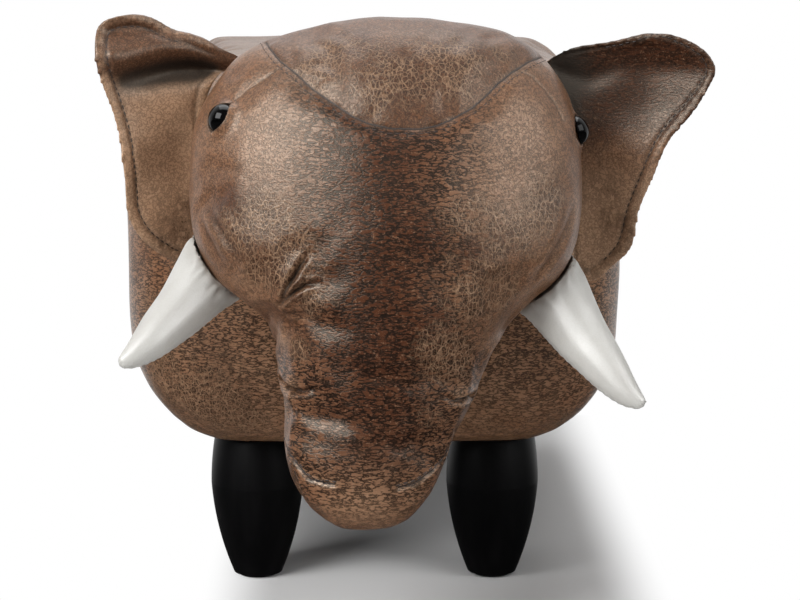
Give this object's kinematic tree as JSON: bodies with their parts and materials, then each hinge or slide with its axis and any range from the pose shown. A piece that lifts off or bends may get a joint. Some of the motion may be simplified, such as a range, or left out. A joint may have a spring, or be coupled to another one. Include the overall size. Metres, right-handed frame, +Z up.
{
  "type": "upholstered elephant footstool",
  "caption": "Footstool shaped like an elephant, with a padded leather-look body as the seat, stuffed head, trunk, tusks and ears, and short turned wooden legs.",
  "frame": {"origin": "on the floor under the middle of the stool's outline", "axes": "-Y is where the elephant looks, +X its left side, +Z up"},
  "size_m": [0.3629, 0.6448, 0.3666],
  "materials": {
    "plywood": "raw birch plywood",
    "softwood": "raw planed softwood",
    "black_wood": "black satin lacquer on turned wood",
    "black_plastic": "black moulded plastic",
    "zinc_steel": "zinc plated steel",
    "black_cloth": "black non-woven cloth",
    "foam": "upholstery foam",
    "stuffing": "polyester filling",
    "brown_leather": "distressed brown artificial leather with fine pebbled grain",
    "white_leather": "smooth white artificial leather",
    "eye_gloss": "polished black plastic",
    "tassel": "cut strips of the brown artificial leather"
  },
  "bodies": {
    "stool": {"base_board": "plywood", "seat_board": "plywood", "rib_front": "plywood", "rib_middle": "plywood", "rib_rear": "plywood", "rail_left": "softwood", "rail_right": "softwood", "frame_screws": "zinc_steel", "leg_front_left": "black_wood", "leg_front_right": "black_wood", "leg_rear_left": "black_wood", "leg_rear_right": "black_wood", "glide_front_left": "black_plastic", "glide_front_right": "black_plastic", "glide_rear_left": "black_plastic", "glide_rear_right": "black_plastic", "hanger_bolts": "zinc_steel", "flanged_nuts": "zinc_steel", "base_cloth": "black_cloth", "seat_foam": "foam", "wrap_foam": "foam", "seat_panel": "brown_leather", "flank_panel_left": "brown_leather", "flank_panel_right": "brown_leather", "head_stuffing": "stuffing", "trunk_stuffing": "stuffing", "crown_panel": "brown_leather", "face_panel": "brown_leather", "chin_panel": "brown_leather", "trunk_tip_panel": "brown_leather", "eye_left": "eye_gloss", "eye_right": "eye_gloss", "eye_washer_left": "black_plastic", "eye_washer_right": "black_plastic", "tusk_cover_left": "white_leather", "tusk_cover_right": "white_leather", "tusk_stuffing_left": "stuffing", "tusk_stuffing_right": "stuffing"},
    "ear_left": {"ear_front_cover_left": "brown_leather", "ear_back_cover_left": "brown_leather", "ear_padding_left": "stuffing"},
    "ear_right": {"ear_front_cover_right": "brown_leather", "ear_back_cover_right": "brown_leather", "ear_padding_right": "stuffing"},
    "tail": {"tail_strap": "brown_leather", "tail_tassel": "tassel"}
  },
  "joints": [
    {"name": "ear_left_flap", "type": "hinge", "parent": "stool", "child": "ear_left", "pos_m": [0.09512, -0.18363, 0.2061], "axis": [0, 0, -1], "range_deg": [-8, 20], "stiffness_Nm_per_rad": 0.3},
    {"name": "ear_right_flap", "type": "hinge", "parent": "stool", "child": "ear_right", "pos_m": [-0.11906, -0.18363, 0.2176], "axis": [0, 0, 1], "range_deg": [-8, 20], "stiffness_Nm_per_rad": 0.3},
    {"name": "tail_swing", "type": "hinge", "parent": "stool", "child": "tail", "pos_m": [-0.01925, 0.30617, 0.287], "axis": [1, 0, 0], "range_deg": [0, 100]}
  ]
}
